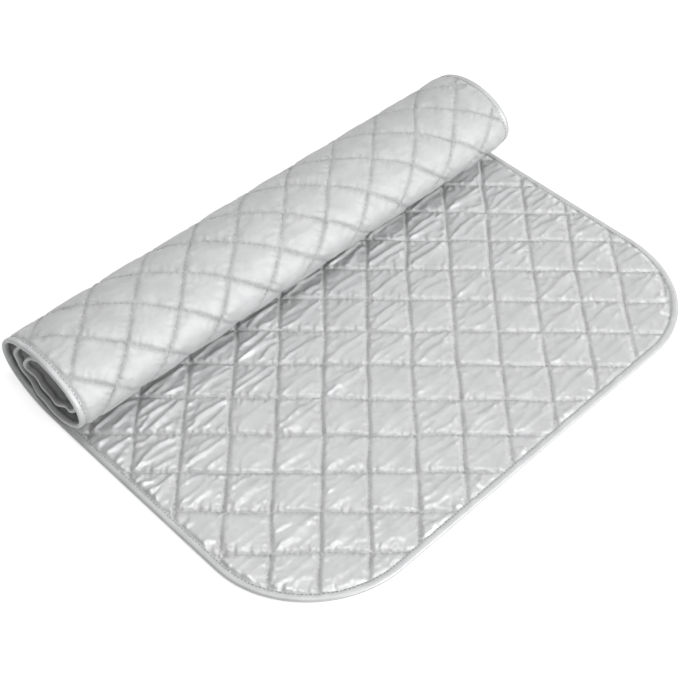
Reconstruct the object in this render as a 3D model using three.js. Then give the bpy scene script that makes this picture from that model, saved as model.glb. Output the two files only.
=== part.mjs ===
// A quilted ironing pad, half rolled up: a flat tongue that runs on into a loose oval roll.
// Millimetres, +Z up. X runs along the pad's length and Y across its width. The tongue lies face up
// with its free edge towards +X, and the roll stands at -X with the pad's back on its outside.
import * as THREE from "three";

// Driving dimensions of the pad
const padLength = 850; // cut length, from the free edge to the edge inside the roll
const padWidth = 480;
const cornerRadius = 92;
const padThickness = 6; // at the crown of a quilted diamond
const coverThickness = 0.4;
const seamWadding = 1.2; // wadding left between the covers where stitching draws them together
const layerClearance = 0.3; // between a cover and the wadding
const diamondDiagonal = 50.8;
const quiltShiftAlong = -1.3; // from the free edge to the nearest row of seam crossings
const quiltShiftAcross = 22.8; // from the pad's middle line to that row's nearest crossing
const woundLoft = 0.6; // loft of the turns that press on each other, as a share of the crown's
const shoulderRun = 12; // from the hem to full loft

// Driving dimensions of the edge binding
const bindingWidth = 4.5; // how far the tape reaches over each cover
const tapeThickness = 0.7;
const tapeClearance = 0.4; // between the tape and the covers
const foldClearance = 1; // between the tape's fold and the raw edge
const tapeLift = 0.2; // from the table to the underside of the tape

// Driving dimensions of the roll
const tongueLength = 284; // from the free edge to where the roll stands on the table
const liftRun = 45; // length over which the pad's back leaves the table
const turnGap = 1; // least gap between two turns
const slackHeight = 0.3; // how much looser each further turn is wound, upwards and sideways
const slackWidth = 1.6;
const coreHalfHeight = 9.5; // the oval that the rolled-in edge ends on
const coreHalfWidth = 12.5;
const rollSkew = 10; // how much nearer the free edge the roll stands at its +Y end
const rollTaper = 0.08; // how much narrower it is wound at that end, as a share of its width

// Fineness of the facets
const woundRowSagitta = 0.75; // how far the line may bow between two rows inside the roll
const woundRowTurn = 0.6; // and how far it may turn
const rowsPerCrossing = 2; // rows from one row of crossings to the next, on the outer turn
const cornerAngles = [0.3, Math.PI / 4]; // rows that round a corner, besides those of the crossings
const leastRowStep = 3;
const samplesPerTurn = 240;

const crown = padThickness / 2;
const coverFill = coverThickness + layerClearance;
const seamThickness = seamWadding + 2 * coverFill;
const tapeRise = tapeClearance + tapeThickness;
const crossingSpacing = diamondDiagonal / 2;
const turnPitch = padThickness + turnGap;

const clamp01 = (x) => Math.min(1, Math.max(0, x));
const mix = (a, b, share) => a + (b - a) * share;
const ease = (from, to, x) => THREE.MathUtils.smoothstep(x, from, to);

// The pad's middle line, seen along Y: a straight tongue, then an oval spiral that tightens inwards.

const shrinkAfter = (turns, slack) => turnPitch * turns + slack * turns * turns;

// A point of the spiral about its own centre. It starts at the bottom and climbs on the -X side.
function spiralPoint(turns, allTurns) {
  const halfWidth = coreHalfWidth + shrinkAfter(allTurns, slackWidth) - shrinkAfter(turns, slackWidth);
  const halfHeight = coreHalfHeight + shrinkAfter(allTurns, slackHeight) - shrinkAfter(turns, slackHeight);
  const angle = -Math.PI / 2 - 2 * Math.PI * turns;
  return new THREE.Vector2(halfWidth * Math.cos(angle), halfHeight * Math.sin(angle));
}

function spiralSamples(allTurns, lastTurn) {
  const count = Math.ceil(lastTurn * samplesPerTurn);
  const samples = [{ turns: 0, length: 0, point: spiralPoint(0, allTurns) }];
  for (let i = 1; i <= count; i++) {
    const turns = (lastTurn * i) / count;
    const point = spiralPoint(turns, allTurns);
    const length = samples[i - 1].length + point.distanceTo(samples[i - 1].point);
    samples.push({ turns, length, point });
  }
  return samples;
}

// The number of turns that winds up a length, found by halving.
function turnsToWind(length) {
  const woundBy = (turns) => spiralSamples(turns, turns).at(-1).length;
  let [low, high] = [0, 1];
  while (woundBy(high) < length) high *= 2;
  while (high - low > 1e-6) {
    const middle = (low + high) / 2;
    if (woundBy(middle) < length) low = middle;
    else high = middle;
  }
  return high;
}

const allTurns = turnsToWind(padLength - tongueLength);
const spiral = spiralSamples(allTurns, allTurns + 0.3);
const rollHeight = crown - spiral[0].point.y;

function turnsAt(wound) {
  const found = spiral.findIndex((sample) => sample.length > wound);
  const after = spiral[found < 1 ? spiral.length - 1 : found];
  const before = spiral[spiral.indexOf(after) - 1];
  return mix(before.turns, after.turns, (wound - before.length) / (after.length - before.length));
}

// The line's point and its normal towards the pad's face, at length u from the free edge and at width v.
function lineAt(u, v) {
  const rollStart = tongueLength - (rollSkew * v) / padWidth;
  if (u <= rollStart) return { point: new THREE.Vector2(-u, crown), normal: new THREE.Vector2(0, 1) };
  const turns = turnsAt(u - rollStart);
  const narrow = new THREE.Vector2(1 - (rollTaper * v) / padWidth, 1);
  const wound = (at) => spiralPoint(at, allTurns).multiply(narrow);
  const nudge = 1e-4;
  const ahead = wound(turns + nudge).sub(wound(turns - nudge)).normalize();
  return {
    point: wound(turns).add(new THREE.Vector2(-rollStart, rollHeight)),
    normal: new THREE.Vector2(ahead.y, -ahead.x),
  };
}

function padPoint(u, v, height) {
  const { point, normal } = lineAt(u, v);
  return new THREE.Vector3(point.x + normal.x * height, v, point.y + normal.y * height);
}

// The pad's outline: a rectangle with round corners, in length u and width v.

function depthInside(u, v) {
  const alongCorner = Math.abs(u - padLength / 2) - (padLength / 2 - cornerRadius);
  const acrossCorner = Math.abs(v) - (padWidth / 2 - cornerRadius);
  const beyond = Math.hypot(Math.max(alongCorner, 0), Math.max(acrossCorner, 0));
  return cornerRadius - beyond - Math.min(Math.max(alongCorner, acrossCorner), 0);
}

// Half the width of the outline drawn in by an inset. Past its ends it is half of the straight end.
function halfWidthAt(u, inset) {
  const radius = cornerRadius - inset;
  const fromEnd = Math.max(0, Math.min(u, padLength - u) - inset);
  const reach = Math.max(0, radius - fromEnd);
  return padWidth / 2 - cornerRadius + Math.sqrt(radius * radius - reach * reach);
}

// Heights of the two outer surfaces above the middle line. The hem under the tape is at seam thickness.
// The quilting shows on the tongue's face and on the back of the outer turn.

const outerTurn = spiral.find((sample) => sample.turns >= 1) ?? spiral.at(-1);
const outerTurnEnd = Math.min(tongueLength + outerTurn.length, padLength - bindingWidth);
const liesFlat = (u) => 1 - ease(tongueLength, tongueLength + liftRun, u);
const faceQuilting = (u) => 1 - ease(tongueLength - crossingSpacing, tongueLength, u);
const backQuilting = (u) => 1 - ease(outerTurnEnd - 2 * crossingSpacing, outerTurnEnd - crossingSpacing, u);

// Length along the back cover. It is outside the roll's bend, and the quilting keeps its spacing there.
function sewnLength(u) {
  return u > tongueLength ? u + 2 * Math.PI * crown * turnsAt(u - tongueLength) : u;
}

// 0 on a seam and 1 on the crown of a diamond.
function puff(u, v) {
  const along = (sewnLength(u) - quiltShiftAlong) / crossingSpacing;
  const across = (v - quiltShiftAcross) / crossingSpacing;
  const bulge = (x) => Math.abs(Math.sin((Math.PI / 2) * x));
  return Math.sqrt(bulge(along + across) * bulge(along - across));
}

const loftShare = (u, v) => clamp01((depthInside(u, v) - bindingWidth) / shoulderRun);
const hemMiddle = (u) => liesFlat(u) * (tapeLift + tapeRise + seamThickness / 2 - crown);
const faceHem = (u) => hemMiddle(u) + seamThickness / 2;
const backHem = (u) => hemMiddle(u) - seamThickness / 2;

function faceHeight(u, v) {
  const seam = mix(seamThickness / 2, seamThickness - crown, liesFlat(u));
  const loft = mix(woundLoft, puff(u, v), faceQuilting(u));
  return mix(faceHem(u), mix(seam, crown, loft), loftShare(u, v));
}

function backHeight(u, v) {
  const loft = mix(mix(woundLoft, puff(u, v), backQuilting(u)), 1, liesFlat(u));
  return mix(backHem(u), mix(-seamThickness / 2, -crown, loft), loftShare(u, v));
}

// Rows across the pad that its surfaces are drawn on, the needed ones first.

const crossingsBefore = Math.ceil(-quiltShiftAlong / crossingSpacing + 1e-6);
const sewnCrossing = (i) => quiltShiftAlong + crossingSpacing * (crossingsBefore + i);
const crossingAt = (u) => (sewnLength(u) - sewnCrossing(0)) / crossingSpacing;
const lastCrossing = Math.floor(crossingAt(outerTurnEnd));
const tongueCrossing = Math.floor(crossingAt(tongueLength));

// Where the i-th row of crossings is, found by halving.
function crossingRow(i) {
  let [low, high] = [0, padLength];
  while (high - low > 1e-8) {
    const middle = (low + high) / 2;
    if (sewnLength(middle) < sewnCrossing(i)) low = middle;
    else high = middle;
  }
  return high;
}

function padRows() {
  const rows = [0, padLength, bindingWidth, padLength - bindingWidth];
  const add = (u) => {
    if (rows.every((row) => Math.abs(row - u) > leastRowStep)) rows.push(u);
  };
  for (let i = 0; i <= lastCrossing; i++) add(crossingRow(i));
  for (let i = tongueCrossing; i < lastCrossing; i += 1 / rowsPerCrossing) add(crossingRow(i));
  for (const angle of cornerAngles) {
    add(cornerRadius * (1 - Math.cos(angle)));
    add(padLength - cornerRadius * (1 - Math.cos(angle)));
  }
  let last = Math.max(...rows.filter((row) => row < outerTurnEnd));
  for (const { length } of spiral) {
    const u = tongueLength + length;
    const turned = lineAt(u, 0).normal.angleTo(lineAt(last, 0).normal);
    const needed = (turned * (u - last)) / 8 > woundRowSagitta || turned > woundRowTurn;
    if (u < last || u > padLength || !needed) continue;
    add(u);
    last = u;
  }
  return rows.sort((a, b) => a - b);
}

const rows = padRows();

// The row of crossings that a strip starts from, if the strip is quilted on this side.
function crossingOf(row, side) {
  const crossing = Math.floor(crossingAt(rows[row]) + 1e-6);
  const from = side === "face" ? bindingWidth : crossingRow(tongueCrossing + 1);
  const to = side === "face" ? tongueCrossing : lastCrossing - 1;
  return rows[row] > from - 1e-6 && crossing < to ? crossing : null;
}

// Places across a quilted row from hem to hem: every seam and, on a row of crossings, the crown between
// each two, in the order that they keep from one row of crossings to the next.
function quiltedPlaces(u, crossing) {
  const hem = halfWidthAt(u, bindingWidth);
  const drift = sewnLength(u) - sewnCrossing(crossing);
  const onCrossings = Math.min(Math.abs(drift), Math.abs(drift - crossingSpacing)) < 1e-6;
  const oddRow = Math.abs(crossing + crossingsBefore) % 2 === 1;
  const first = quiltShiftAcross + (oddRow ? crossingSpacing : 0);
  const reach = Math.ceil(padWidth / diamondDiagonal / 2) + 1;
  const places = [-hem];
  for (let k = -reach; k <= reach; k++) {
    for (const seam of [first + diamondDiagonal * k - drift, first + diamondDiagonal * k + drift]) {
      const held = THREE.MathUtils.clamp(seam, -hem, hem);
      places.push(onCrossings ? (places.at(-1) + held) / 2 : places.at(-1), held);
    }
  }
  return [...places, hem];
}

function plainPlaces(u) {
  const hem = halfWidthAt(u, bindingWidth);
  const shoulder = halfWidthAt(u, bindingWidth + shoulderRun);
  return [-hem, -shoulder, shoulder, hem];
}

// A closed shell of facets, built from rows of points.
class Shell {
  points = [];
  triangles = [];
  known = new Map();

  point(surface, u, v, height) {
    const key = [surface, u.toFixed(4), v.toFixed(4)].join();
    if (!this.known.has(key)) {
      this.known.set(key, this.points.length);
      this.points.push(padPoint(u, v, height));
    }
    return this.known.get(key);
  }

  triangle(a, b, c, faceUp = true) {
    if (a === b || b === c || c === a) return;
    if (faceUp) this.triangles.push(a, b, c);
    else this.triangles.push(a, c, b);
  }

  distance(a, b) {
    return this.points[a].distanceTo(this.points[b]);
  }

  // Joins two rows place by place, across the shorter diagonal.
  ladder(here, there, faceUp) {
    for (let k = 0; k + 1 < here.length; k++) {
      const [a, b, c, d] = [here[k], here[k + 1], there[k], there[k + 1]];
      if (this.distance(a, d) <= this.distance(b, c)) {
        this.triangle(a, b, d, faceUp);
        this.triangle(a, d, c, faceUp);
      } else {
        this.triangle(a, b, c, faceUp);
        this.triangle(b, d, c, faceUp);
      }
    }
  }

  // Joins two rows that have different places, taking the shorter step each time.
  weave(here, there, faceUp) {
    let [i, j] = [0, 0];
    while (i + 1 < here.length || j + 1 < there.length) {
      const stepHere = i + 1 < here.length ? this.distance(here[i + 1], there[j]) : Infinity;
      const stepThere = j + 1 < there.length ? this.distance(there[j + 1], here[i]) : Infinity;
      if (stepHere <= stepThere) this.triangle(here[i], here[++i], there[j], faceUp);
      else this.triangle(here[i], there[j + 1], there[j++], faceUp);
    }
  }

  // Joins two closed loops. The wall looks outwards when the first loop is the upper one.
  band(upper, lower) {
    for (let i = 0; i < upper.length; i++) {
      const next = (i + 1) % upper.length;
      this.triangle(upper[i], lower[i], lower[next]);
      this.triangle(upper[i], lower[next], upper[next]);
    }
  }

  // The loop round the outline, drawn in by an inset: out along +Y, and back along -Y.
  loop(surface, inset, height) {
    const within = rows.filter((u) => Math.min(u, padLength - u) > Math.max(inset, 0) + 1e-6);
    const stops = [inset, ...within, padLength - inset];
    const side = (sign) => stops.map((u) => this.point(surface, u, sign * halfWidthAt(u, inset), height(u)));
    return [...side(1), ...side(-1).reverse()];
  }

  mesh(name, material) {
    const geometry = new THREE.BufferGeometry().setFromPoints(this.points);
    geometry.setIndex(this.triangles);
    geometry.computeVertexNormals();
    const mesh = new THREE.Mesh(geometry, material);
    mesh.name = name;
    return mesh;
  }
}

// One surface of a layer, quilted as on its side of the pad.
function addLayerSurface(shell, surface, side, height, faceUp) {
  const crossings = rows.slice(1).map((_, row) => crossingOf(row, side));
  const at = (row, v) => shell.point(surface, rows[row], v, height(rows[row], v));
  const edge = (row, sign) => at(row, sign * halfWidthAt(rows[row], 0));
  const placed = (row, crossing) => {
    const places = crossing === null ? plainPlaces(rows[row]) : quiltedPlaces(rows[row], crossing);
    return places.map((v) => at(row, v));
  };
  crossings.forEach((crossing, row) => {
    const before = crossing ?? crossings[row - 1] ?? null;
    const after = crossing ?? crossings[row + 1] ?? null;
    const here = placed(row, before);
    const there = placed(row + 1, after);
    if (before === after) shell.ladder(here, there, faceUp);
    else shell.weave(here, there, faceUp);
    shell.ladder([edge(row, -1), here[0]], [edge(row + 1, -1), there[0]], faceUp);
    shell.ladder([here.at(-1), edge(row, 1)], [there.at(-1), edge(row + 1, 1)], faceUp);
  });
  return shell.loop(surface, 0, (u) => height(u, halfWidthAt(u, 0)));
}

function layer(name, upper, lower, material) {
  const shell = new Shell();
  const upperLoop = addLayerSurface(shell, "upper", upper.side, upper.height, true);
  const lowerLoop = addLayerSurface(shell, "lower", lower.side, lower.height, false);
  shell.band(upperLoop, lowerLoop);
  return shell.mesh(name, material);
}

// One leg of the tape: the ring from just outside the outline to the tape's inner edge.
function addTapeLeg(shell, surface, height, faceUp) {
  const outset = -foldClearance;
  const stops = [outset, ...rows.slice(1, -1), padLength - outset];
  const at = (u, v) => shell.point(surface, u, v, height(u));
  const side = (u, sign) => {
    const places = [halfWidthAt(u, bindingWidth), halfWidthAt(u, outset)];
    return (sign > 0 ? places : places.reverse()).map((v) => at(u, sign * v));
  };
  stops.slice(1).forEach((next, i) => {
    const u = stops[i];
    const acrossEnd = next < bindingWidth + 1e-6 || u > padLength - bindingWidth - 1e-6;
    const here = [side(u, -1), side(u, 1)];
    const there = [side(next, -1), side(next, 1)];
    if (acrossEnd) shell.ladder(here.flat(), there.flat(), faceUp);
    else here.forEach((_, k) => shell.ladder(here[k], there[k], faceUp));
  });
  return {
    outer: shell.loop(surface, outset, height),
    inner: shell.loop(surface, bindingWidth, height),
  };
}

// The binding: one tape folded over the raw edge, round the whole outline.
function binding(name, material) {
  const shell = new Shell();
  const raise = (hem, by) => (u) => hem(u) + by;
  const faceOut = addTapeLeg(shell, "faceOut", raise(faceHem, tapeRise), true);
  const faceIn = addTapeLeg(shell, "faceIn", raise(faceHem, tapeClearance), false);
  const backIn = addTapeLeg(shell, "backIn", raise(backHem, -tapeClearance), true);
  const backOut = addTapeLeg(shell, "backOut", raise(backHem, -tapeRise), false);
  const foldTop = shell.loop("foldTop", -foldClearance - tapeThickness, raise(faceHem, tapeClearance));
  const foldBottom = shell.loop("foldBottom", -foldClearance - tapeThickness, raise(backHem, -tapeClearance));
  shell.band(faceOut.outer, foldTop);
  shell.band(foldTop, foldBottom);
  shell.band(foldBottom, backOut.outer);
  shell.band(backIn.outer, faceIn.outer);
  shell.band(faceIn.inner, faceOut.inner);
  shell.band(backOut.inner, backIn.inner);
  return shell.mesh(name, material);
}

const silver = new THREE.MeshStandardMaterial({ color: 0xc6c8cb, roughness: 0.42, metalness: 0.55 });
const tape = new THREE.MeshStandardMaterial({ color: 0xb4b7bb, roughness: 0.55, metalness: 0.3 });
const fibre = new THREE.MeshStandardMaterial({ color: 0xeeece6, roughness: 0.95, metalness: 0 });

const face = (depth) => ({ side: "face", height: (u, v) => faceHeight(u, v) - depth });
const back = (depth) => ({ side: "back", height: (u, v) => backHeight(u, v) + depth });

const pad = new THREE.Group();
pad.name = "ironing_pad";
pad.add(
  layer("face_cover", face(0), face(coverThickness), silver),
  layer("wadding", face(coverFill), back(coverFill), fibre),
  layer("back_cover", back(coverThickness), back(0), silver.clone()),
  binding("edge_binding", tape),
);

// The frame's origin is on the table, under the middle of the pad as it lies.
const box = new THREE.Box3().setFromObject(pad);
const middle = box.getCenter(new THREE.Vector3());
pad.children.forEach((piece) => piece.geometry.translate(-middle.x, -middle.y, -box.min.z));

export default pad;
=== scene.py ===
import math

import bpy
import numpy as np
from mathutils import Matrix, Vector


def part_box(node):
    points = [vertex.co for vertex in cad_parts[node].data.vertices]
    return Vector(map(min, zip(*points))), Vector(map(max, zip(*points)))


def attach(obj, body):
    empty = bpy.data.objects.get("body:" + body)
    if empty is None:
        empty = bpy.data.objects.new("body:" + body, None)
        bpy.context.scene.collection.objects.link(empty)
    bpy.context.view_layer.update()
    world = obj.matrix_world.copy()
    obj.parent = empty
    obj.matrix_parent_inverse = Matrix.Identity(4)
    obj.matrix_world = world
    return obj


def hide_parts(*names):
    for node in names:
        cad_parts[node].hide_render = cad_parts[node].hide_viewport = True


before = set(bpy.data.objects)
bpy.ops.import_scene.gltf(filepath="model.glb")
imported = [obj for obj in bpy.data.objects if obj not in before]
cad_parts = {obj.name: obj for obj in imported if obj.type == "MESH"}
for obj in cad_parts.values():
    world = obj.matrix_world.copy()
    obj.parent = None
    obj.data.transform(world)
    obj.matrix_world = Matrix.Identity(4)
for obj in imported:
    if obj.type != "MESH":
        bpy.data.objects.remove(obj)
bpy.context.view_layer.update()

# Sizes in metres, in the frame of the CAD model.
mm = 0.001
pad_length = 850 * mm
pad_width = 480 * mm
corner_radius = 92 * mm
crown = 3 * mm  # half the pad's thickness at the crown of a diamond
seam_half = 1.3 * mm  # half its thickness where it is stitched
crossing = 25.4 * mm  # from one row of seam crossings to the next
quilt_along = -1.3 * mm  # where one of the crossings is, from the free edge
quilt_across = 22.8 * mm  # and from the pad's middle line

# The tongue and the roll
tongue_length = 284 * mm
lift_run = 45 * mm  # length over which the pad leaves the table
turn_pitch = 7 * mm  # from one turn to the next
slack_height = 0.3 * mm  # by which the turns lie looser on their way inwards
slack_width = 1.6 * mm
core_half_height = 9.5 * mm
core_half_width = 12.5 * mm
most_turns = 8.0
spare_turns = 0.5  # of the spiral beyond the pad's inner end
line_steps = 2000  # in which lengths along the pad are measured
turn_step = 1e-4
roll_skew = 10 * mm  # how far the roll lies askew, from one end of it to the other
roll_taper = 0.08  # how much narrower it is at its far end
inner_slump = 0.36  # how far the inner turns are drawn in on the way to their lowest point
slump_from, slump_to = 1.5, 2.2  # turns over which that starts
inner_drift = 4.5 * mm  # how far they stand back from the roll's near end
drift_from, drift_to = 0.9, 1.2  # turns over which that starts
inner_ruffle = 1.3 * mm
ruffle_wave = 34 * mm
ruffle_seed = 21
gain_from, gain_to = 570 * mm, 740 * mm  # where the back loses what it gains outside the bend
free_run = 110 * mm  # length over which the free end lies a little askew
free_skew = 8 * mm  # how far its one corner lies ahead of the other
free_drift = 1.8 * mm  # how far it lies to one side
free_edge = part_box("face_cover")[1].x

# The hem and its tape
binding_width = 4.5 * mm  # how far the tape reaches over each cover
hem_half = 0.8 * mm  # half the thickness of the covers and wadding pressed inside the tape
hem_tuck = 1 * mm  # how far under the tape the covers start to rise
hem_run = 2.5 * mm  # how far beyond it they have left the hem
fill_run = 12 * mm  # from the tape to where the wadding is as thick as elsewhere
tape_thickness = 0.6 * mm
tape_rise = 0.9 * mm  # of the tape's outer side above the hem
tape_lift = 0.35 * mm  # of the bound edge above the table
fold_out = 1.7 * mm  # from the pad's raw edge to the outside of the tape's fold
fold_rounding = 0.6 * mm
tape_stitch_depth = 3.7 * mm  # from the raw edge to the tape's stitches
tape_stitch_dent = 0.3 * mm  # how deep they draw the tape in
tape_dent_reach = 0.8 * mm
tape_edge_drop = 0.3 * mm
tape_edge_run = 0.5 * mm
tape_dome = 0.2 * mm  # how far the tape bulges between its fold and its stitches
tape_ripple, corner_ripple = 0.14 * mm, 0.28 * mm  # of the tape's loose side
tape_ripple_wave = 13 * mm
tape_ripple_from = 1 * mm
tape_drawn = 0.2 * mm  # how unevenly its stitches draw it in
tape_drawn_from = 0.5 * mm
ripple_seed, stitch_seed = 3, 5
tape_steps, tape_inner_steps = 11, 6  # round the outside and the inside of half its section
leg_crowding = 1.5

# The cloth's grid has a whole number of cells between two rows of crossings.
cells = 11
cell = crossing / cells
seam_crowding = 0.4  # how far the grid is drawn towards the seams
coarse_cell = 3.8 * mm
tongue_end = 300 * mm  # the tongue's face and the outer turn's back are simulated
turn_from = 268 * mm
turn_to = 584 * mm
sim_scale = 10
sim_frames = 24
sim_gathered = 14  # the frame in which the seams are fully drawn together
sim_pressure = 0.3
sim_stiffness = 15
sim_shear = 4.5
sim_bending = 0.15
sim_noise = 0.08 * mm  # unevenness of the cut sheet
sim_smoothing = 0.3

# The covers: how much more cloth than pad there is, the loft and the strength of the wrinkles
face_gather, face_gather_more, face_gather_across = 0.028, 0.02, 0.008
face_more_from, face_more_to = 130 * mm, 260 * mm  # the face has more cloth near the roll
face_rise = 2.1 * mm
face_crease = 1.4
face_seed = 7
back_gather, back_gather_more, back_gather_across = 0.016, 0.012, 0.01
back_more_from, back_more_to = 491 * mm, 553 * mm  # the back has more on the roll's far side
back_rise, back_rise_more = 1 * mm, 2 * mm
back_rise_from, back_rise_to = 450 * mm, 511 * mm
back_crease = 0.8
back_seed = 11
plain_rise = 1.7 * mm  # loft of a cover that is pressed between turns
pressed_share = 0.5  # how much of its loft the back keeps where it lies on the table
shoulder = 1.2 * mm  # how far from a seam the wadding fills out the cover
dome_share = 0.35
dome_power = 1.5
ridge_from = 0.07 * mm  # height above which a wrinkle stands out
ridge_gain = 2.4
fine_share = 0.35
hollow_share, bulge_share = 0.15, 0.4
broad_rounds, broad_smoothing = 12, 0.8
least_wrinkled, most_wrinkled = 0.3, 1.3
wrinkle_ease = 0.8 * mm  # how far from a seam the wrinkles start
wrinkle_run = 4 * mm  # how far from the tape they are in full
gather_pitch = 2.3 * mm  # of the small gathers across the stitches
gather_reach = 2.2 * mm
gather_height = 0.46 * mm
seam_shift, side_shift = 311, 157  # make the gathers differ from seam to seam and side to side
hem_gather_pitch = 3.4 * mm  # and of those along the tape
hem_gather_reach = 3 * mm
hem_gather_height = 0.35 * mm
seam_wander = 0.5 * mm  # how far the quilting strays from straight lines
wander_run = 5 * binding_width

wadding_inset = 1 * mm
wadding_rows, wadding_columns = 225, 90
wadding_half = 0.4 * mm  # half its thickness at the seams
wadding_loft = 0.6 * mm
wadding_sink = 1.4 * mm  # how far it lies below the middle line on the table

stitch_pitch = 4.2 * mm
stitch_length = 3.3 * mm
stitch_radius = 0.3 * mm
stitch_lift = 0.15 * mm
stitch_margin = 1.5 * mm  # from the tape to the nearest quilting stitch
seam_numbers = range(-40, 80)  # more seams than the pad has
tape_stitch_pitch = 3.2 * mm
tape_stitch_length = 2.5 * mm
tape_stitch_radius = 0.27 * mm
tape_stitch_lift = 0.1 * mm
nudge = 0.5 * mm  # step by which directions on the pad are measured

floor_size = 6
floor_drop = 0.2 * mm
floor_grey = 0.42
room_light = 0.26
tiny = 1e-9
root_two = math.sqrt(2)


def smooth(low, high, x):
    t = np.clip((x - low) / (high - low), 0, 1)
    return t * t * (3 - 2 * t)


def mix(a, b, share):
    return a + (b - a) * share


def ripple(x, wavelength, seed):
    """A smooth uneven wave along x, about -1 to 1."""
    rng = np.random.default_rng(seed)
    total = np.zeros_like(x)
    for stretch in (0.6, 1.0, 1.7):
        phase = rng.uniform(0, 6.28)
        total += np.sin(2 * np.pi * x / (wavelength * stretch) + phase) / 3
    return total * 1.5


# The camera


def make_camera():
    azimuth, elevation, roll = (math.radians(a) for a in (44.551, 48.542, 0.748))
    target = Vector((-17.5, -23.3, 0)) * mm
    distance = 1083.228 * mm
    level = math.cos(elevation)
    back = Vector((math.sin(azimuth) * level, -math.cos(azimuth) * level, math.sin(elevation)))
    side = Vector((math.cos(azimuth), math.sin(azimuth), 0))
    top = back.cross(side)
    right = side * math.cos(roll) + top * math.sin(roll)
    up = top * math.cos(roll) - side * math.sin(roll)
    data = bpy.data.cameras.new("camera")
    data.lens, data.sensor_width = 69.753, 36
    camera = bpy.data.objects.new("camera", data)
    bpy.context.scene.collection.objects.link(camera)
    turned = Matrix((right, up, back)).transposed().to_4x4()
    camera.matrix_world = Matrix.Translation(target + back * distance) @ turned
    bpy.context.scene.camera = camera


make_camera()


# The pad's middle line: a straight tongue, then an oval spiral that tightens inwards.


def shrink(turns, slack):
    return turn_pitch * turns + slack * turns * turns


def oval(turns, all_turns, slump=0.0):
    """A point of the spiral about its centre. Its inner turns slump to a point at the bottom."""
    width = core_half_width + shrink(all_turns, slack_width) - shrink(turns, slack_width)
    height = core_half_height + shrink(all_turns, slack_height) - shrink(turns, slack_height)
    angle = -np.pi / 2 - 2 * np.pi * turns
    flank = np.maximum(-np.sin(angle), 0) * (1 - np.cos(3 * (angle + np.pi / 2))) / 2
    drawn = 1 - slump * smooth(slump_from, slump_to, turns) * flank
    return np.stack([width * np.cos(angle) * drawn, height * np.sin(angle) * drawn], -1)


def wound_lengths(all_turns, last, slump=0.0):
    turns = np.linspace(0, last, line_steps)
    steps = np.linalg.norm(np.diff(oval(turns, all_turns, slump), axis=0), axis=1)
    return turns, np.concatenate([[0], np.cumsum(steps)])


def turns_to_wind(length):
    low, high = 0.0, most_turns
    while high - low > 1e-7:
        middle = (low + high) / 2
        if wound_lengths(middle, middle)[1][-1] < length:
            low = middle
        else:
            high = middle
    return high


all_turns = turns_to_wind(pad_length - tongue_length)
spiral_turns, spiral_lengths = wound_lengths(all_turns, all_turns + spare_turns, inner_slump)
roll_height = crown - oval(np.array(0.0), all_turns)[1]


def face_line(sewn):
    """Length along the middle line. The face's seams are seen only on the flat tongue."""
    return sewn


def back_line(sewn):
    """Length along the middle line. The quilting keeps its spacing on the outside of the bend."""
    u = np.linspace(0, pad_length, line_steps)
    outer = np.minimum(np.interp(u - tongue_length, spiral_lengths, spiral_turns), 1)
    gained = 2 * np.pi * crown * outer * (1 - smooth(gain_from, gain_to, u))
    return np.interp(sewn, u + gained, u)


def pad_point(u, v, height):
    """Where a point is: its length u, its width v and its height towards the face."""
    start = tongue_length - roll_skew * v / pad_width
    turns = np.interp(u - start, spiral_lengths, spiral_turns)
    narrow = np.stack([1 - roll_taper * v / pad_width, np.ones_like(v)], -1)
    at = oval(turns, all_turns, inner_slump) * narrow
    after = oval(turns + turn_step, all_turns, inner_slump)
    before = oval(turns - turn_step, all_turns, inner_slump)
    ahead = (after - before) * narrow
    ahead /= np.linalg.norm(ahead, axis=-1, keepdims=True)
    flat = u <= start
    x = np.where(flat, -u, at[..., 0] - start + ahead[..., 1] * height)
    z = np.where(flat, crown + height, at[..., 1] + roll_height - ahead[..., 0] * height)
    loose = 1 - smooth(0, free_run, u)
    x = x + free_edge + free_skew * v / pad_width * loose
    drift = inner_drift + inner_ruffle * ripple(u, ruffle_wave, ruffle_seed)
    y = v + free_drift * loose + drift * smooth(drift_from, drift_to, turns)
    return np.stack([x, y, z], -1)


# The outline and the heights of the surfaces


def depth_inside(u, v):
    along = np.abs(u - pad_length / 2) - (pad_length / 2 - corner_radius)
    across = np.abs(v) - (pad_width / 2 - corner_radius)
    beyond = np.hypot(np.maximum(along, 0), np.maximum(across, 0))
    return corner_radius - beyond - np.minimum(np.maximum(along, across), 0)


def onto_outline(u, v):
    """Moves points that are outside the outline onto it."""
    middle_u = np.clip(u, corner_radius, pad_length - corner_radius)
    middle_v = np.clip(v, corner_radius - pad_width / 2, pad_width / 2 - corner_radius)
    reach = np.maximum(np.hypot(u - middle_u, v - middle_v), tiny)
    share = np.minimum(1, corner_radius / reach)
    return middle_u + (u - middle_u) * share, middle_v + (v - middle_v) * share


def lies_flat(u):
    return 1 - smooth(tongue_length, tongue_length + lift_run, u)


def hem_middle(u):
    return lies_flat(u) * (tape_lift + tape_rise + hem_half - crown)


def hem_share(u, v):
    """1 under the tape and 0 beyond the hem."""
    return 1 - smooth(binding_width - hem_tuck, binding_width + hem_run, depth_inside(u, v))


def past_hem(u, v):
    """0 under the tape and 1 where the wadding is as thick as elsewhere."""
    return np.clip((depth_inside(u, v) - binding_width) / fill_run, 0, 1)


def puff(u, v):
    """0 on the seams and 1 in the middle of each diamond."""
    a, b = (u - quilt_along) / crossing, (v - quilt_across) / crossing
    return np.sqrt(np.abs(np.sin(np.pi / 2 * (a + b)) * np.sin(np.pi / 2 * (a - b))))


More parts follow.
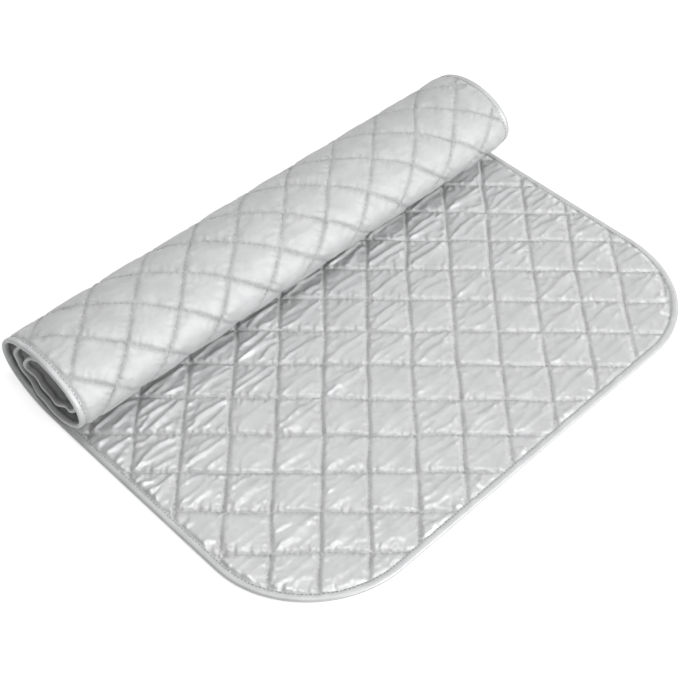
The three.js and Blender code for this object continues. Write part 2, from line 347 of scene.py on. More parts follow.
def seam_distances(u, v):
    """Distances to the nearest seam of each of the two families."""
    a, b = u - quilt_along, v - quilt_across
    between = root_two * crossing
    across = ((a + b) / root_two, (a - b) / root_two)
    return [np.abs((x / between + 0.5) % 1 - 0.5) * between for x in across]


def loft(u, v):
    """The wadding's shape under a cover: 0 on the seams, and a broad crown on each diamond."""
    steep = [d * d / (d * d + shoulder * shoulder) for d in seam_distances(u, v)]
    return mix(steep[0] * steep[1], puff(u, v) ** dome_power, dome_share)


# The covers' cloth: a flat grid is drawn together along the seams while the wadding holds it up.


def on_seam(i, j):
    return ((i + j) % (2 * cells) == 0) | ((i - j) % (2 * cells) == 0)


def grid_indices(u_from, u_to):
    i = np.arange(round((u_from - quilt_along) / cell), round((u_to - quilt_along) / cell) + 1)
    half = pad_width / 2 + cell
    first = math.floor((-half - quilt_across) / cell)
    last = math.ceil((half - quilt_across) / cell)
    j = np.arange(first, last + 1)
    return np.meshgrid(i, j, indexing="ij")


def sheet_faces(rows, columns):
    a = (np.arange(rows - 1)[:, None] * columns + np.arange(columns - 1)[None, :]).ravel()
    return np.stack([a, a + columns, a + columns + 1, a + 1], -1)


def add_mesh(name, points, faces):
    mesh = bpy.data.meshes.new(name)
    mesh.from_pydata(points.reshape(-1, 3).tolist(), [], faces)
    mesh.update()
    piece = bpy.data.objects.new(name, mesh)
    bpy.context.scene.collection.objects.link(piece)
    return piece


def set_cloth(piece):
    modifier = piece.modifiers.new("Cloth", "CLOTH")
    cloth = modifier.settings
    cloth.vertex_group_mass = "held"
    cloth.pin_stiffness = 1
    cloth.quality = 6
    cloth.mass = 0.3
    cloth.tension_stiffness = cloth.compression_stiffness = sim_stiffness
    cloth.shear_stiffness = sim_shear
    cloth.bending_stiffness = sim_bending
    cloth.tension_damping = cloth.compression_damping = cloth.shear_damping = 5
    cloth.bending_damping = 0.5
    cloth.use_pressure = True
    cloth.uniform_pressure_force = sim_pressure
    cloth.effector_weights.gravity = 0
    modifier.collision_settings.use_collision = False
    modifier.collision_settings.use_self_collision = False
    modifier.point_cache.frame_start = 1
    modifier.point_cache.frame_end = sim_frames


def draw_in(piece, sewn):
    """Draws the held points from the cut sheet to the sewn one while the frames run."""
    piece.shape_key_add(name="Basis")
    key = piece.shape_key_add(name="sewn")
    key.data.foreach_set("co", sewn.ravel())
    for value, at in ((0, 1), (1, sim_gathered)):
        key.value = value
        key.keyframe_insert("value", frame=at)


def run_frames(piece):
    for at in range(1, sim_frames + 1):
        bpy.context.scene.frame_set(at)
    shown = piece.evaluated_get(bpy.context.evaluated_depsgraph_get())
    points = np.empty(len(piece.data.vertices) * 3)
    shown.data.vertices.foreach_get("co", points)
    bpy.context.scene.frame_set(1)
    return points.reshape(-1, 3)


def relax(values, held, share):
    """One smoothing step of a grid that leaves the held points."""
    around = values.copy()
    rows = values[2:, 1:-1] + values[:-2, 1:-1]
    around[1:-1, 1:-1] = (rows + values[1:-1, 2:] + values[1:-1, :-2]) / 4
    return np.where(held[..., None], values, mix(values, around, share))


def refine(values):
    """Halves a grid's cells along a smooth curve through its points."""
    for axis in (0, 1):
        rows = np.moveaxis(values, axis, 0)
        longer = np.concatenate([2 * rows[:1] - rows[1:2], rows, 2 * rows[-1:] - rows[-2:-1]])
        finer = np.empty((2 * len(rows) - 1,) + rows.shape[1:])
        finer[::2] = rows
        finer[1::2] = (9 * (longer[1:-2] + longer[2:-1]) - longer[:-3] - longer[3:]) / 16
        values = np.moveaxis(finer, 0, axis)
    return values


def simulate(name, u, v, held, rise, gather_along, gather_across, seed):
    """Draws a cut sheet together at its held points, and gives how far each point moves."""
    noise = np.random.default_rng(seed).standard_normal(u.shape) * np.where(held, 0, sim_noise)
    step = 1 + gather_along(u[:, 0])
    length = u[0, 0] + np.concatenate([[0], np.cumsum((step[1:] + step[:-1]) / 2 * cell)])
    length = np.broadcast_to(length[:, None], u.shape)
    cut = np.stack([length, v * (1 + gather_across), rise + noise], -1) * sim_scale
    sewn = np.stack([u, v, rise], -1) * sim_scale
    piece = add_mesh(name, cut, sheet_faces(*u.shape).tolist())
    piece.vertex_groups.new(name="held").add(np.flatnonzero(held).tolist(), 1.0, "ADD")
    draw_in(piece, sewn)
    set_cloth(piece)
    moved = (run_frames(piece).reshape(sewn.shape) - sewn) / sim_scale
    mesh = piece.data
    bpy.data.objects.remove(piece)
    bpy.data.meshes.remove(mesh)
    return relax(moved, held, sim_smoothing)


def uneven(x, seed):
    """A random level at each whole number, with smooth ways between."""
    count = 4096
    levels = np.random.default_rng(seed).standard_normal(count)
    first = np.floor(x).astype(int)
    return mix(levels[first % count], levels[(first + 1) % count], smooth(0, 1, x - first))


def edge_run(u, v):
    """Length along the outline, from the middle of the free edge to the point nearest to u, v."""
    half = pad_width / 2 - corner_radius
    turn = np.arctan2(np.maximum(np.abs(v) - half, 0), np.maximum(corner_radius - u, 0) + tiny)
    along_end, along_side = np.minimum(np.abs(v), half), np.maximum(u - corner_radius, 0)
    return np.sign(v) * (along_end + corner_radius * turn + along_side)


def beside(off, reach):
    """0 on a line, 1 at the reach from it, and dying away beyond."""
    return off / reach * np.exp(1 - off / reach)


def gathers(u, v, seed):
    """Heights of the small gathers on both sides of the seams and along the tape."""
    total = np.zeros_like(u)
    for family, sign in enumerate((1, -1)):
        a, b = u - quilt_along, (v - quilt_across) * sign
        line = np.round((a + b) / (2 * crossing))
        off = (a + b) / root_two - line * root_two * crossing
        near = beside(np.abs(off), gather_reach)
        along = (a - b) / root_two / gather_pitch + seam_shift * line + side_shift * (off > 0)
        total += gather_height * near * uneven(along, seed + family)
    total = gather_height * np.tanh(total / gather_height)
    off = np.maximum(depth_inside(u, v) - binding_width, 0)
    total *= smooth(0, hem_gather_reach, off)
    along = uneven(edge_run(u, v) / hem_gather_pitch, seed + 2)
    return total + hem_gather_height * beside(off, hem_gather_reach) * along


def crowd_to_seams(u, v):
    """Moves a grid's points towards the seams, where the cloth bends most."""
    a, b = (u - quilt_along) / crossing, (v - quilt_across) / crossing
    crowding = seam_crowding * smooth(0, crossing, np.minimum(u - u[0, 0], u[-1, 0] - u))
    across = ((a + b) / 2, (a - b) / 2)
    p, q = (x - crowding * np.sin(2 * np.pi * x) / (2 * np.pi) for x in across)
    return quilt_along + (p + q) * crossing, quilt_across + (p - q) * crossing


def sample(values, u, v, at_u, at_v):
    """Reads a grid of values between its points."""
    last = 1.001  # keeps every place inside the last cell
    x = np.clip((at_u - u[0, 0]) / (u[1, 0] - u[0, 0]), 0, u.shape[0] - last)
    y = np.clip((at_v - v[0, 0]) / (v[0, 1] - v[0, 0]), 0, u.shape[1] - last)
    i, j = np.floor(x).astype(int), np.floor(y).astype(int)
    s, t = (x - i)[..., None], (y - j)[..., None]
    near = mix(values[i, j], values[i + 1, j], s)
    far = mix(values[i, j + 1], values[i + 1, j + 1], s)
    return mix(near, far, t)


def wrinkles(lifted, u, v, seed):
    """Leaves the sharpest ridges of the drawn-in cloth, more of them in some diamonds."""
    broad, none_held = lifted[..., None], np.zeros(u.shape, bool)
    for _ in range(broad_rounds):
        broad = relax(broad, none_held, broad_smoothing)
    broad = broad[..., 0]
    fine = lifted - broad
    ridges = np.maximum(fine - ridge_from, 0) * ridge_gain + fine * fine_share
    a, b = (u - quilt_along) / crossing, (v - quilt_across) / crossing
    count = 64
    share = np.random.default_rng(seed).uniform(least_wrinkled, most_wrinkled, (count, count))
    row, column = (np.floor(x / 2).astype(int) % count for x in (a + b, a - b))
    return (ridges + np.where(broad < 0, hollow_share, bulge_share) * broad) * share[row, column]


def quilt_sheet(name, u_from, u_to, gather_along, gather_across, crown_rise, crease, seed):
    """A quilted stretch of a cover: the grid's length and width, its drift and its rise."""
    i, j = grid_indices(u_from, u_to)
    u, v = quilt_along + i * cell, quilt_across + j * cell
    held = on_seam(i, j) | (depth_inside(u, v) < binding_width - hem_tuck)
    held[[0, -1]] = True
    moved = np.zeros(u.shape + (3,))
    rise = crown_rise(u) * loft(u, v)
    moved = simulate(name, u, v, held, rise, gather_along, gather_across, seed)
    u, v, moved = refine(u), refine(v), refine(moved)
    moved[..., 2] = crease * wrinkles(moved[..., 2], u, v, seed)
    at_u, at_v = crowd_to_seams(u, v)
    moved = sample(moved, u, v, at_u, at_v)
    free = 1 - np.exp(-np.minimum(*seam_distances(at_u, at_v)) / wrinkle_ease)
    depth = depth_inside(at_u, at_v)
    free *= smooth(binding_width - hem_tuck, binding_width + wrinkle_run, depth)
    moved *= free[..., None]
    rise = crown_rise(at_u) * loft(at_u, at_v) + moved[..., 2] + gathers(at_u, at_v, seed)
    return at_u, at_v, moved[..., :2], rise


def wave(u, v, along, across, pace, phase):
    return np.sin((along * u + across * v) * pace + phase)


def wander(u, v):
    """How the quilting strays, as a drift in length and width that dies out at the hem."""
    inner = seam_wander * smooth(binding_width, wander_run, depth_inside(u, v))
    along = wave(u, v, 0.9, 0.5, 64, 1) + wave(u, v, 0.3, -0.9, 103, 2)
    across = wave(u, v, 0.7, -0.6, 71, 4) + wave(u, v, 0.8, 0.7, 118, 5)
    return np.stack([along * inner, across * inner], -1)


def points_used(faces):
    """The points that some faces use, and the faces numbered by them."""
    used, faces = np.unique(faces, return_inverse=True)
    return used, faces.reshape(-1, 4)


def keep_inside(u, v):
    """The points and the faces of the grid's cells that reach inside the outline."""
    faces = sheet_faces(*u.shape)
    inside = (depth_inside(u, v) > 0).ravel()
    return points_used(faces[inside[faces].any(1)])


def plain_cover(u, v):
    """How far a part of a cover that is pressed flat stands from its seams, from 0 to 1."""
    return loft(u, v) * past_hem(u, v)


def plain_stretch(u_from, u_to):
    """A stretch of a cover that is pressed between turns or under the tongue, on a coarser grid."""
    rows = np.linspace(u_from, u_to, max(2, math.ceil((u_to - u_from) / coarse_cell)) + 1)
    half = pad_width / 2
    columns = np.linspace(-half, half, 2 * round(half / coarse_cell) + 1)
    u, v = np.meshgrid(rows, columns, indexing="ij")
    return u, v, np.zeros(u.shape + (2,)), plain_cover(u, v) * plain_rise


def cover(name, stretches, line_of, height_of):
    """A whole cover from its stretches, each with its length, width, drift and rise."""
    points, faces, cloth, count, last_row = [], [], [], 0, None
    for u, v, drift, rise in stretches:
        rows, columns = u.shape
        used, kept = keep_inside(u, v)
        drift, rise = drift.reshape(-1, 2)[used], rise.ravel()[used]
        u, v = onto_outline(u.ravel()[used], v.ravel()[used])
        place = np.stack([u, v], -1) + drift + wander(u, v)
        height = height_of(line_of(u), v, rise)
        points.append(pad_point(line_of(place[:, 0]), place[:, 1], height))
        cloth.append(np.stack([u, v], -1))
        faces += (kept + count).tolist()
        if last_row:
            faces += join_rows(last_row, row_of(used < columns, v, count))
        last_row = row_of(used >= (rows - 1) * columns, v, count)
        count += len(u)
    piece = add_mesh(name, np.concatenate(points), faces)
    add_cloth_map(piece, np.concatenate(cloth))
    return piece


def row_of(chosen, v, count):
    """The numbers and widths of a row's points, from one side of the pad to the other."""
    index = np.flatnonzero(chosen)
    return (index + count).tolist(), v[index].tolist()


def join_rows(one, other):
    """Triangles that join the last row of a stretch to the first of the next."""
    (a, a_at), (b, b_at) = one, other
    faces, i, j = [], 0, 0
    while i < len(a) - 1 or j < len(b) - 1:
        if j == len(b) - 1 or (i < len(a) - 1 and a_at[i + 1] <= b_at[j + 1]):
            faces.append([a[i], b[j], a[i + 1]])
            i += 1
        else:
            faces.append([a[i], b[j], b[j + 1]])
            j += 1
    return faces


def add_cloth_map(piece, places):
    """Lays the cloth's own length and width on the piece, for its weave."""
    layer = piece.data.uv_layers.new(name="cloth")
    corners = np.empty(len(piece.data.loops), np.int32)
    piece.data.loops.foreach_get("vertex_index", corners)
    layer.data.foreach_set("uv", places[corners].ravel())
    piece.data.shade_smooth()


def face_height(u, v, rise):
    level = mix(seam_half, 2 * seam_half - crown, lies_flat(u))
    return mix(level + rise, hem_middle(u) + hem_half, hem_share(u, v))


def back_height(u, v, rise):
    flat = lies_flat(u)
    level = mix(-seam_half, plain_rise * pressed_share - crown, flat)
    level = level - rise * mix(1, pressed_share, flat)
    return mix(level, hem_middle(u) - hem_half, hem_share(u, v))


def blend_ends(stretch, first, last):
    """Levels a simulated stretch with the plain ones at its ends."""
    u, v, drift, rise = stretch
    share = 1 - smooth(last - crossing, last, u)
    if first > 0:
        share *= smooth(first, first + crossing, u)
    return u, v, drift * share[..., None], mix(plain_cover(u, v) * plain_rise, rise, share)


def make_face_cover():
    tongue = quilt_sheet(
        "face_sheet",
        0,
        tongue_end,
        lambda u: face_gather + face_gather_more * smooth(face_more_from, face_more_to, u),
        face_gather_across,
        lambda u: face_rise,
        face_crease,
        face_seed,
    )
    last = tongue[0][-1, 0]
    stretches = [blend_ends(tongue, 0, last), plain_stretch(last + coarse_cell, pad_length)]
    piece = cover("face_cover_cloth", stretches, face_line, face_height)
    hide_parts("face_cover")
    return piece


def make_back_cover():
    turn = quilt_sheet(
        "back_sheet",
        turn_from,
        turn_to,
        lambda u: back_gather + back_gather_more * smooth(back_more_from, back_more_to, u),
        back_gather_across,
        lambda u: mix(back_rise, back_rise_more, smooth(back_rise_from, back_rise_to, u)),
        back_crease,
        back_seed,
    )
    first, last = turn[0][0, 0], turn[0][-1, 0]
    under = plain_stretch(0, first - coarse_cell)
    inside = plain_stretch(last + coarse_cell, pad_length)
    stretches = [under, blend_ends(turn, first, last), inside]
    piece = cover("back_cover_cloth", stretches, back_line, back_height)
    piece.data.flip_normals()
    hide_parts("back_cover")
    return piece


# The wadding between the covers


def make_wadding():
    rows = np.linspace(wadding_inset, pad_length - wadding_inset, wadding_rows)
    columns = np.linspace(-pad_width / 2, pad_width / 2, wadding_columns)
    u, v = np.meshgrid(rows, columns, indexing="ij")
    faces = sheet_faces(*u.shape)
    inside = (depth_inside(u, v) > wadding_inset).ravel()
    used, faces = points_used(faces[inside[faces].all(1)])
    u, v = u.ravel()[used], v.ravel()[used]
    thick = wadding_half + wadding_loft * plain_cover(u, v)
    middle = mix(hem_middle(u), -wadding_sink * lies_flat(u), past_hem(u, v))
    top, bottom = (pad_point(u, v, middle + side * thick) for side in (1, -1))
    edges = np.stack([faces, np.roll(faces, -1, 1)], -1).reshape(-1, 2)
    both_ways = np.sort(edges, 1)
    _, index, count = np.unique(both_ways, axis=0, return_inverse=True, return_counts=True)
    first, second = edges[count[index.ravel()] == 1].T
    wall = np.stack([second, first, first + len(u), second + len(u)], -1)
    skin = np.concatenate([faces, faces[:, ::-1] + len(u), wall])
    piece = add_mesh("wadding_fibre", np.concatenate([top, bottom]), skin.tolist())
    piece.data.shade_smooth()
    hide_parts("wadding")
    return piece


# The binding: a tape folded round the raw edge


def outline(step):
    """Points round the outline: the way along it, u, v, the direction inwards and 1 at corners."""
    half_u, half_v = pad_length / 2 - corner_radius, pad_width / 2 - corner_radius
    straight_u, straight_v = 2 * half_u, 2 * half_v
    quarter = corner_radius * np.pi / 2
    around = 2 * (straight_u + straight_v) + 4 * quarter
    count = round(around / step)
    s = np.arange(count) * around / count
    stretch = np.array([straight_v, quarter, straight_u, quarter] * 2)
    starts = np.concatenate([[0], np.cumsum(stretch)])
    part = np.searchsorted(starts, s, side="right") - 1
    t = (s - starts[part]) / stretch[part]
    turn = np.pi / 2 * (part // 2) + np.where(part % 2 == 1, t * np.pi / 2, 0)
    out_u, out_v = -np.cos(turn), np.sin(turn)
    u_there, u_back = mix(-half_u, half_u, t), mix(half_u, -half_u, t)
    v_there, v_back = mix(-half_v, half_v, t), mix(half_v, -half_v, t)
    centre_u = np.array([-1, -1, 0, 1, 1, 1, 0, -1])[part] * half_u
    centre_v = np.array([0, 1, 1, 1, 0, -1, -1, -1])[part] * half_v
    centre_u += np.select([part == 2, part == 6], [u_there, u_back], 0)
    centre_v += np.select([part == 0, part == 4], [v_there, v_back], 0)
    u = pad_length / 2 + centre_u + out_u * corner_radius
    v = centre_v + out_v * corner_radius
    return s, u, v, -out_u, -out_v, (part % 2).astype(float)


def tape_height(depth, s, bend):
    """Height of the tape's outer side above the hem's middle."""
    base = hem_half + tape_rise
    dent = np.exp(-(((depth - tape_stitch_depth) / tape_dent_reach) ** 2))
    edge = smooth(binding_width - tape_edge_run, binding_width, depth)
    dome = np.sin(np.pi * np.clip(depth / tape_stitch_depth, 0, 1))
    loose = smooth(tape_ripple_from, binding_width, depth) * mix(tape_ripple, corner_ripple, bend)
    drawn = smooth(tape_drawn_from, tape_stitch_depth, depth) * tape_drawn
    level = base + tape_dome * dome - tape_stitch_dent * dent - tape_edge_drop * edge
    level = level + loose * ripple(s, tape_ripple_wave, ripple_seed)
    return level + drawn * uneven(s / tape_stitch_pitch, stitch_seed)


def half_section(s, bend, inset, steps):
    """Depths and heights of half the tape's section, from its edge to the middle of its fold."""
    share = np.linspace(0, 1, steps) ** leg_crowding
    leg = binding_width - (binding_width - fold_rounding) * share
    nose = np.radians(np.linspace(90, 0, steps // 2)[1:])
    top = tape_height(fold_rounding, s, bend) - inset
    tip = fold_rounding - (fold_out + fold_rounding - inset) * np.cos(nose)
    depths = np.concatenate([leg, tip])
    heights = [tape_height(d, s, bend) - inset for d in leg] + [top * math.sin(a) for a in nose]
    return np.broadcast_to(depths[:, None], (len(depths), len(s))), np.array(heights)


def tape_section(s, bend):
    """The tape's closed section: round its outside, and back along its inside."""
    sides = []
    for inset, steps in ((0, tape_steps), (tape_thickness, tape_inner_steps)):
        depths, heights = half_section(s, bend, inset, steps)
        depths = np.concatenate([depths, depths[-2::-1]])
        heights = np.concatenate([heights, -heights[-2::-1]])
        sides.append(np.stack([depths, heights]))
    outside, inside = sides
    return np.concatenate([outside, inside[:, ::-1]], 1)


def make_binding():
    s, u, v, in_u, in_v, bend = outline(tape_stitch_pitch / 2)
    depths, heights = tape_section(s, bend)
    at_u, at_v = u + in_u * depths, v + in_v * depths
    points = pad_point(at_u, at_v, hem_middle(np.clip(at_u, 0, pad_length)) + heights)
    points[..., 2] = np.maximum(points[..., 2], 0)
    ring, along = depths.shape
    a = np.arange(ring)[:, None] * along + np.arange(along)[None, :]
    b = np.roll(a, -1, 1)
    faces = np.stack([a, np.roll(a, -1, 0), np.roll(b, -1, 0), b], -1).reshape(-1, 4)
    piece = add_mesh("edge_binding_tape", points, faces.tolist())
    add_cloth_map(piece, np.stack([np.broadcast_to(s, depths.shape), depths], -1).reshape(-1, 2))
    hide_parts("edge_binding")
    return piece


# Stitches


def stitch_mesh(name, centre, along, up, length, radius):
    """Short lengths of thread that dive into the cloth at both ends."""
    along = along / np.linalg.norm(along, axis=-1, keepdims=True)
    up = up - along * (up * along).sum(-1, keepdims=True)
    up /= np.linalg.norm(up, axis=-1, keepdims=True)
    side = np.cross(along, up)
    stops = np.array([-0.5, -0.3, 0.3, 0.5]) * length
    girth = np.array([0.5, 1, 1, 0.5]) * radius
    sink = np.array([-1.6, 0, 0, -1.6]) * radius
    corner = np.radians([45, 135, 225, 315])
    high, wide = np.sin(corner)[None, :, None], np.cos(corner)[None, :, None]
    centre, along, up, side = (x[:, None] for x in (centre, along, up, side))
    rings = [
        centre + along * x + up * (z + g * high) + side * g * wide
        for x, g, z in zip(stops, girth, sink)
    ]
    points = np.stack(rings, 1)
    sides = len(corner)
    ring = np.arange(len(stops) - 1)[:, None] * sides
    a = ring + np.arange(sides)
    b = ring + (np.arange(sides) + 1) % sides
    quads = np.stack([a, b, b + sides, a + sides], -1).reshape(-1, 4)
    caps = np.array([[3, 2, 1, 0], [12, 13, 14, 15]])
    faces = np.concatenate([quads, caps])
    stitch = np.arange(len(centre))[:, None, None] * sides * len(stops)
    faces = (faces + stitch).reshape(-1, 4)
    piece = add_mesh(name, points, faces.tolist())
    piece.data.shade_smooth()
    return piece


def seam_places(u_from, u_to):
    """Middles of the stitches along both families of seams, and which way they run."""
    places = []
    reach = pad_length + pad_width
    along = np.arange(-reach, reach, stitch_pitch / root_two)
    v = quilt_across + along
    for direction in (1, -1):
        for number in seam_numbers:
            u = quilt_along + 2 * crossing * number + direction * along
            places.append(np.stack([u, v, np.full_like(u, direction)], -1))
    places = np.concatenate(places)
    u, v = places[:, 0], places[:, 1]
    clear = depth_inside(u, v) > binding_width + stitch_margin
    return places[(u > u_from) & (u < u_to) & clear]


def stitches_on(name, places, line_of, height_of, side):
    """The stitches of one side, 1 for the face and -1 for the back."""
    u, v, direction = places.T
    height = height_of(line_of(u), v, np.zeros_like(u))
    drift = wander(u, v)
    u, v = line_of(u + drift[:, 0]), v + drift[:, 1]
    centre = pad_point(u, v, height + side * stitch_lift)
    ahead = pad_point(u + direction * nudge, v + nudge, height)
    behind = pad_point(u - direction * nudge, v - nudge, height)
    up = (pad_point(u, v, height + nudge) - pad_point(u, v, height)) * side
    return stitch_mesh(name, centre, ahead - behind, up, stitch_length, stitch_radius)


def make_quilt_stitches():
    on_face, on_back = seam_places(0, tongue_end), seam_places(0, turn_to)
    face = stitches_on("face_quilt_stitches", on_face, face_line, face_height, 1)
    back = stitches_on("back_quilt_stitches", on_back, back_line, back_height, -1)
    return face, back


def make_tape_stitches():
    s, u, v, in_u, in_v, bend = outline(tape_stitch_pitch)
    at_u, at_v = u + in_u * tape_stitch_depth, v + in_v * tape_stitch_depth
    kept = at_u < turn_to
    at_u, at_v, in_u, in_v = at_u[kept], at_v[kept], in_u[kept], in_v[kept]
    height = tape_height(np.full(kept.sum(), tape_stitch_depth), s[kept], bend[kept])
    made = []
    for name, side in (("face_tape_stitches", 1), ("back_tape_stitches", -1)):
        lift = hem_middle(at_u) + side * (height + tape_stitch_lift)
        centre = pad_point(at_u, at_v, lift)
        centre[:, 2] = np.maximum(centre[:, 2], stitch_radius)
        ahead = pad_point(at_u - in_v * nudge, at_v + in_u * nudge, lift)
        behind = pad_point(at_u + in_v * nudge, at_v - in_u * nudge, lift)
        up = (pad_point(at_u, at_v, lift + nudge) - pad_point(at_u, at_v, lift)) * side
        size = (tape_stitch_length, tape_stitch_radius)
        made.append(stitch_mesh(name, centre, ahead - behind, up, *size))
    return made


# Materials


class Nodes:
    """A short way to write a material's nodes."""

    def __init__(self, name):
        self.material = bpy.data.materials.new(name)
        self.material.use_nodes = True
        self.tree = self.material.node_tree
        self.shader = self.tree.nodes["Principled BSDF"]

    def add(self, kind, inputs=None, **settings):
        node = self.tree.nodes.new(kind)
        for key, value in settings.items():
            setattr(node, key, value)
        for key, value in (inputs or {}).items():
            self.put(node.inputs[key], value)
        return node

    def put(self, socket, value):
        if isinstance(value, bpy.types.NodeSocket):
            self.tree.links.new(value, socket)
        else:
            socket.default_value = value

    def maths(self, operation, a, b=0.0, c=0.0):
        return self.add("ShaderNodeMath", {0: a, 1: b, 2: c}, operation=operation).outputs[0]

    def noise(self, at, scale, detail=2.0, roughness=0.5):
        inputs = {"Vector": at, "Scale": scale, "Detail": detail, "Roughness": roughness}
        return self.add("ShaderNodeTexNoise", inputs).outputs["Fac"]

    def ramp(self, value, stops):
        """Greys with a tint, each stop with its position, grey and tint."""
        node = self.add("ShaderNodeValToRGB", {"Fac": value})
        for element, (position, grey, tint) in zip(node.color_ramp.elements, stops):
            element.position = position
            element.color = (grey, grey * (1 + tint / 2), grey * (1 + tint), 1)
        return node.outputs["Color"]

    def span(self, value, low, high):
        inputs = {"Value": value, "To Min": low, "To Max": high}
        return self.add("ShaderNodeMapRange", inputs).outputs["Result"]

    def weave(self, at, scale, softness):
        inputs = {"Vector": at, "Scale": scale, "Mortar Size": 0.03, "Mortar Smooth": softness}
        return self.add("ShaderNodeTexBrick", inputs).outputs["Fac"]

    def bump(self, height, strength, distance, normal=None):
        inputs = {"Height": height, "Strength": strength, "Distance": distance}
        if normal is not None:
            inputs["Normal"] = normal
        return self.add("ShaderNodeBump", inputs).outputs["Normal"]


def seam_puckers(n, u, v):
    """Height of the small gathers across the stitches, from a cover's length and width."""
    narrow = 14.0  # how fast the gathers die away from a seam
    sides = []
    for sign in (1, -1):
        side = n.maths("MULTIPLY", v, sign)
        across = n.maths("DIVIDE", n.maths("ADD", u, side), 2 * crossing)
        share = n.maths("FRACT", n.maths("ADD", across, 0.5))
        off = n.maths("ABSOLUTE", n.maths("SUBTRACT", share, 0.5))
        squared = n.maths("POWER", n.maths("MULTIPLY", off, narrow), 2.0)
        near = n.maths("EXPONENT", n.maths("MULTIPLY", squared, -1.0))
        along = n.maths("SUBTRACT", u, side)
        place = n.add("ShaderNodeCombineXYZ", {0: along, 1: off}).outputs[0]
        sides.append(n.maths("MULTIPLY", near, n.noise(place, scale=170, detail=1.0)))
    return n.maths("ADD", *sides)


def silver_cloth(name, grey, gloss, grain):
    n = Nodes(name)
    cloth = n.add("ShaderNodeUVMap", uv_map="cloth").outputs["UV"]
    split = n.add("ShaderNodeSeparateXYZ", {0: cloth}).outputs
    u = n.maths("SUBTRACT", split[0], quilt_along)
    v = n.maths("SUBTRACT", split[1], quilt_across)
    cloudy = n.noise(cloth, scale=60, detail=4.0)
    greys = [(0.3, grey - 0.04, 0.012), (0.72, grey + 0.04, 0.01)]
    n.put(n.shader.inputs["Base Color"], n.ramp(cloudy, greys))
    n.shader.inputs["Metallic"].default_value = 0.5
    worn = n.noise(cloth, scale=140, detail=3.0)
    n.put(n.shader.inputs["Roughness"], n.span(worn, 0.95 - gloss, 1.05 - gloss))
    weave = n.weave(cloth, scale=900.0, softness=0.6)
    crinkle = n.noise(cloth, scale=260, detail=3.0, roughness=0.6)
    pimples = n.noise(cloth, scale=650, detail=2.0)
    normal = n.bump(weave, 0.06, 0.2 * mm)
    normal = n.bump(crinkle, grain, 1.2 * mm, normal)
    normal = n.bump(pimples, grain * 0.7, 0.8 * mm, normal)
    normal = n.bump(seam_puckers(n, u, v), 0.55, 1.6 * mm, normal)
    n.put(n.shader.inputs["Normal"], normal)
    return n.material


def tape_cloth():
    n = Nodes("binding_satin")
    cloth = n.add("ShaderNodeUVMap", uv_map="cloth").outputs["UV"]
    cloudy = n.noise(cloth, scale=45, detail=4.0)
    n.put(n.shader.inputs["Base Color"], n.ramp(cloudy, [(0.3, 0.55, 0.016), (0.7, 0.64, 0.012)]))
    n.shader.inputs["Metallic"].default_value = 0.45
    worn = n.noise(cloth, scale=160, detail=2.0)
    n.put(n.shader.inputs["Roughness"], n.span(worn, 0.48, 0.6))
    normal = n.bump(n.weave(cloth, scale=1100.0, softness=0.1), 0.1, 0.2 * mm)
    creases = n.noise(cloth, scale=220, detail=3.0)
    n.put(n.shader.inputs["Normal"], n.bump(creases, 0.2, 1 * mm, normal))
    return n.material


def thread(name, grey):
    n = Nodes(name)
    place = n.add("ShaderNodeTexCoord").outputs["Object"]
    cloudy = n.noise(place, scale=900, detail=2.0)
    # The greys are partly painted shade: the thread is made dark so that the stitches also stand
    # for the shaded needle holes along the seams.
    greys = [(0.3, grey, 0.02), (0.7, grey * 1.35, 0.015)]
    n.put(n.shader.inputs["Base Color"], n.ramp(cloudy, greys))
    n.shader.inputs["Roughness"].default_value = 0.6
    strands = n.noise(place, scale=4000, detail=1.0)
    n.put(n.shader.inputs["Normal"], n.bump(strands, 0.4, 0.2 * mm))
    return n.material


def fibre():
    n = Nodes("lofted_fibre")
    place = n.add("ShaderNodeTexCoord").outputs["Object"]
    cloudy = n.noise(place, scale=300, detail=4.0)
    n.put(n.shader.inputs["Base Color"], n.ramp(cloudy, [(0.3, 0.78, -0.03), (0.7, 0.9, -0.02)]))
    n.shader.inputs["Roughness"].default_value = 0.95
    tufts = n.noise(place, scale=1500, detail=4.0)
    n.put(n.shader.inputs["Normal"], n.bump(tufts, 0.5, 1 * mm))
    return n.material


# Floor and light


def seen_ray(nodes, links):
    """1 for rays from the camera, a mirror or glass, 0 for rays that carry light."""
    path = nodes.new("ShaderNodeLightPath")
    total = path.outputs["Is Camera Ray"]
    for name in ("Is Glossy Ray", "Is Transmission Ray"):
        both = nodes.new("ShaderNodeMath")
        both.operation = "MAXIMUM"
        links.new(total, both.inputs[0])
        links.new(path.outputs[name], both.inputs[1])
        total = both.outputs[0]
    return total


def floor_white(nodes, links):
    """White that the floor adds for the camera: less round the object, where lamps light it."""
    place = nodes.new("ShaderNodeNewGeometry")
    away = nodes.new("ShaderNodeVectorMath")
    away.operation = "LENGTH"
    level = nodes.new("ShaderNodeMapRange")
    level.interpolation_type = "SMOOTHSTEP"
    levels = {"From Min": 0.5, "From Max": 2.2, "To Min": 0.72, "To Max": 0.96}
    for name, value in levels.items():
        level.inputs[name].default_value = value
    links.new(place.outputs["Position"], away.inputs[0])
    links.new(away.outputs["Value"], level.inputs["Value"])
    return level.outputs["Result"]


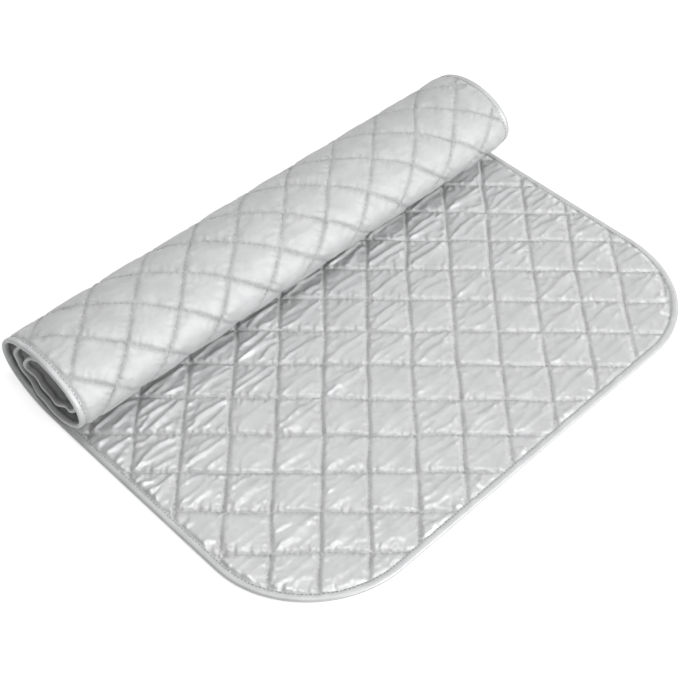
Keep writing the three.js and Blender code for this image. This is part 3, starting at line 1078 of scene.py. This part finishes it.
def make_floor():
    bpy.ops.mesh.primitive_plane_add(size=floor_size, location=(0, 0, -floor_drop))
    floor = bpy.context.object
    floor.name = "floor"
    material = bpy.data.materials.new("pale_floor")
    material.use_nodes = True
    nodes, links = material.node_tree.nodes, material.node_tree.links
    nodes.clear()
    out = nodes.new("ShaderNodeOutputMaterial")
    plain = nodes.new("ShaderNodeBsdfDiffuse")
    plain.inputs["Color"].default_value = (floor_grey, floor_grey, floor_grey, 1)
    white = nodes.new("ShaderNodeEmission")
    links.new(floor_white(nodes, links), white.inputs["Strength"])
    nothing = nodes.new("ShaderNodeEmission")
    nothing.inputs["Strength"].default_value = 0
    chosen = nodes.new("ShaderNodeMixShader")
    links.new(seen_ray(nodes, links), chosen.inputs[0])
    links.new(nothing.outputs[0], chosen.inputs[1])
    links.new(white.outputs[0], chosen.inputs[2])
    both = nodes.new("ShaderNodeAddShader")
    links.new(plain.outputs[0], both.inputs[0])
    links.new(chosen.outputs[0], both.inputs[1])
    links.new(both.outputs[0], out.inputs[0])
    floor.data.materials.append(material)


def make_world():
    world = bpy.data.worlds.new("studio")
    bpy.context.scene.world = world
    world.use_nodes = True
    nodes, links = world.node_tree.nodes, world.node_tree.links
    background = nodes["Background"]
    background.inputs["Color"].default_value = (1, 1, 1, 1)
    path = nodes.new("ShaderNodeLightPath")
    level = nodes.new("ShaderNodeMapRange")
    level.inputs["To Min"].default_value = room_light
    level.inputs["To Max"].default_value = 1.0
    links.new(path.outputs["Is Camera Ray"], level.inputs["Value"])
    links.new(level.outputs["Result"], background.inputs["Strength"])


def add_softbox(name, place, size, power):
    """A round lamp that shines at the origin."""
    data = bpy.data.lights.new(name, "AREA")
    data.shape = "DISK"
    data.size = size
    data.energy = power
    lamp = bpy.data.objects.new(name, data)
    bpy.context.scene.collection.objects.link(lamp)
    lamp.location = place
    lamp.rotation_mode = "QUATERNION"
    lamp.rotation_quaternion = (Vector((0, 0, 0)) - Vector(place)).to_track_quat("-Z", "Y")


def make_lights():
    add_softbox("front_softbox", (2.05, 0.35, 1.1), size=1.6, power=46)
    add_softbox("top_softbox", (0.22, -0.22, 1.9), size=0.6, power=12)
    add_softbox("side_softbox", (0.0, 1.9, 0.7), size=1.0, power=7)
    add_softbox("left_softbox", (-2.0, 0.3, 1.1), size=1.4, power=9)
    add_softbox("back_softbox", (-1.1, 1.2, 1.9), size=1.8, power=5.5)


def dress(piece, material):
    piece.data.materials.clear()
    piece.data.materials.append(material)
    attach(piece, "root")


def make_pad():
    face, back = make_face_cover(), make_back_cover()
    filling, tape = make_wadding(), make_binding()
    dress(face, silver_cloth("silver_face", grey=0.64, gloss=0.55, grain=0.2))
    dress(back, silver_cloth("silver_back", grey=0.6, gloss=0.33, grain=0.36))
    dress(filling, fibre())
    dress(tape, tape_cloth())
    # Both threads are dark partly as painted shade of their needle holes.
    quilting, edging = thread("quilting_thread_and_hole_shade", grey=0.38), thread("edging_thread_and_hole_shade", grey=0.2)
    for piece, slot in zip(make_quilt_stitches(), ("face_cover", "back_cover")):
        dress(piece, quilting)
    for piece in make_tape_stitches():
        dress(piece, edging)


make_floor()
make_world()
make_lights()
make_pad()
bpy.context.scene.view_settings.view_transform = "Standard"
